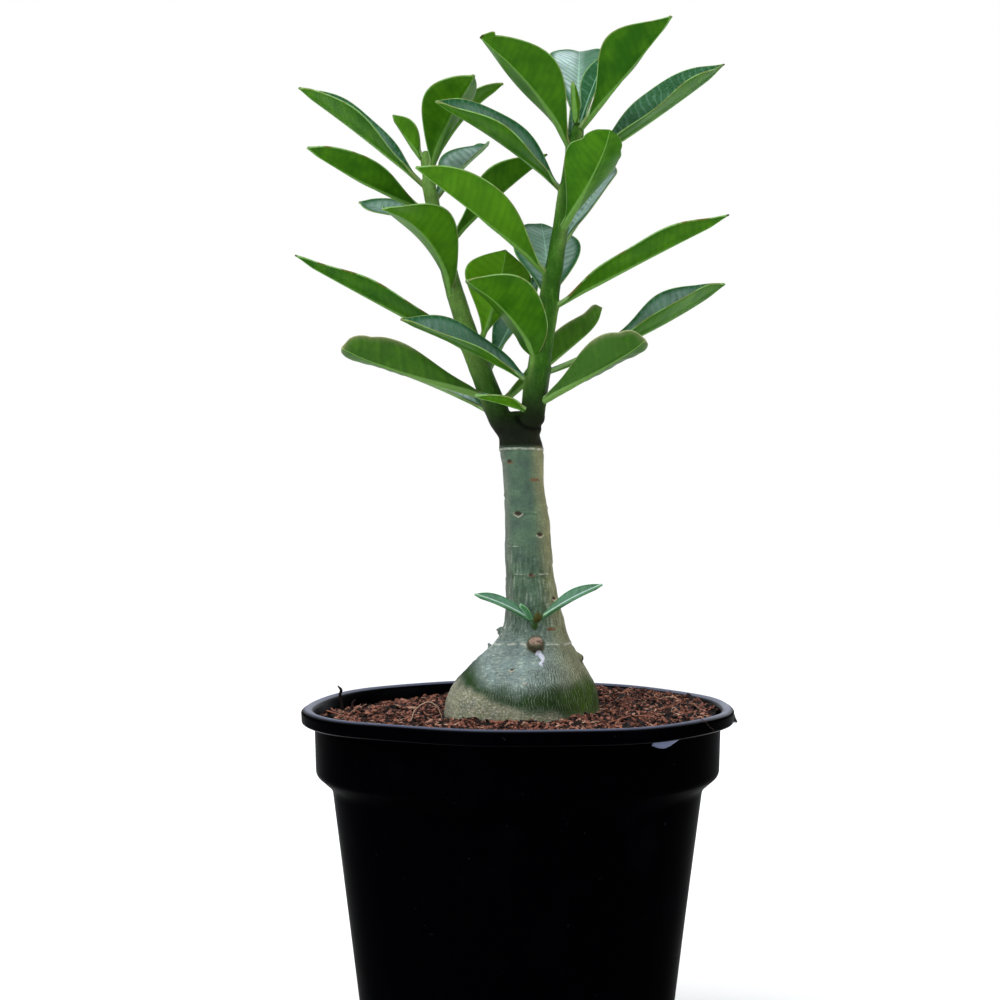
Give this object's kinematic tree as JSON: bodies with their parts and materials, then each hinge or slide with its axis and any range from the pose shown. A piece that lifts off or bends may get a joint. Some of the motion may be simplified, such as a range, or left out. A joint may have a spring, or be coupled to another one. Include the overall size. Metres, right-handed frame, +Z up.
{
  "type": "potted desert rose plant",
  "caption": "Young desert rose with a swollen base, a forked leafy top and a basal shoot, growing in coir chips in a round black nursery pot.",
  "frame": {"origin": "middle of the pot's underside, on the surface it stands on", "axes": "+Z up along the pot's axis, +X to the right and -Y towards the viewer in the picture"},
  "size_m": [0.1855, 0.18, 0.4391],
  "materials": {
    "pot": "black moulded polypropylene with a soft sheen on the lip",
    "coir": "damp coconut husk chips, rough and reddish brown",
    "bark": "smooth grey-green bark with fine ridges, pale scars and greener young stems",
    "leaf": "waxy dark green upper faces, brighter green undersides and pale midribs"
  },
  "bodies": {
    "root": {"pot": "pot", "potting_mix": "coir", "caudex_and_stems": "bark", "basal_shoot": "leaf", "leaf_right_crown_left": "leaf", "leaf_right_crown_right": "leaf", "leaf_right_crown_back": "leaf", "leaf_right_crown_young": "leaf", "leaf_right_crown_bud": "leaf", "leaf_right_upper_right": "leaf", "leaf_right_upper_front": "leaf", "leaf_right_upper_back": "leaf", "leaf_right_upper_left": "leaf", "leaf_right_middle_left": "leaf", "leaf_right_middle_back": "leaf", "leaf_right_middle_right": "leaf", "leaf_right_lower_right": "leaf", "leaf_right_foot_right": "leaf", "leaf_right_lower_front": "leaf", "leaf_right_lower_left": "leaf", "leaf_right_foot_left": "leaf", "leaf_left_upper_left": "leaf", "leaf_left_middle_left": "leaf", "leaf_left_middle_back": "leaf", "leaf_left_middle_front": "leaf", "leaf_left_crown_front": "leaf", "leaf_left_crown_young": "leaf", "leaf_left_crown_right": "leaf", "leaf_left_upper_back": "leaf", "leaf_left_upper_right": "leaf", "leaf_left_lower_front": "leaf", "leaf_left_lower_back": "leaf", "leaf_left_lower_left": "leaf", "leaf_left_foot_left": "leaf", "leaf_left_foot_back": "leaf", "leaf_left_foot_right": "leaf"}
  },
  "joints": []
}
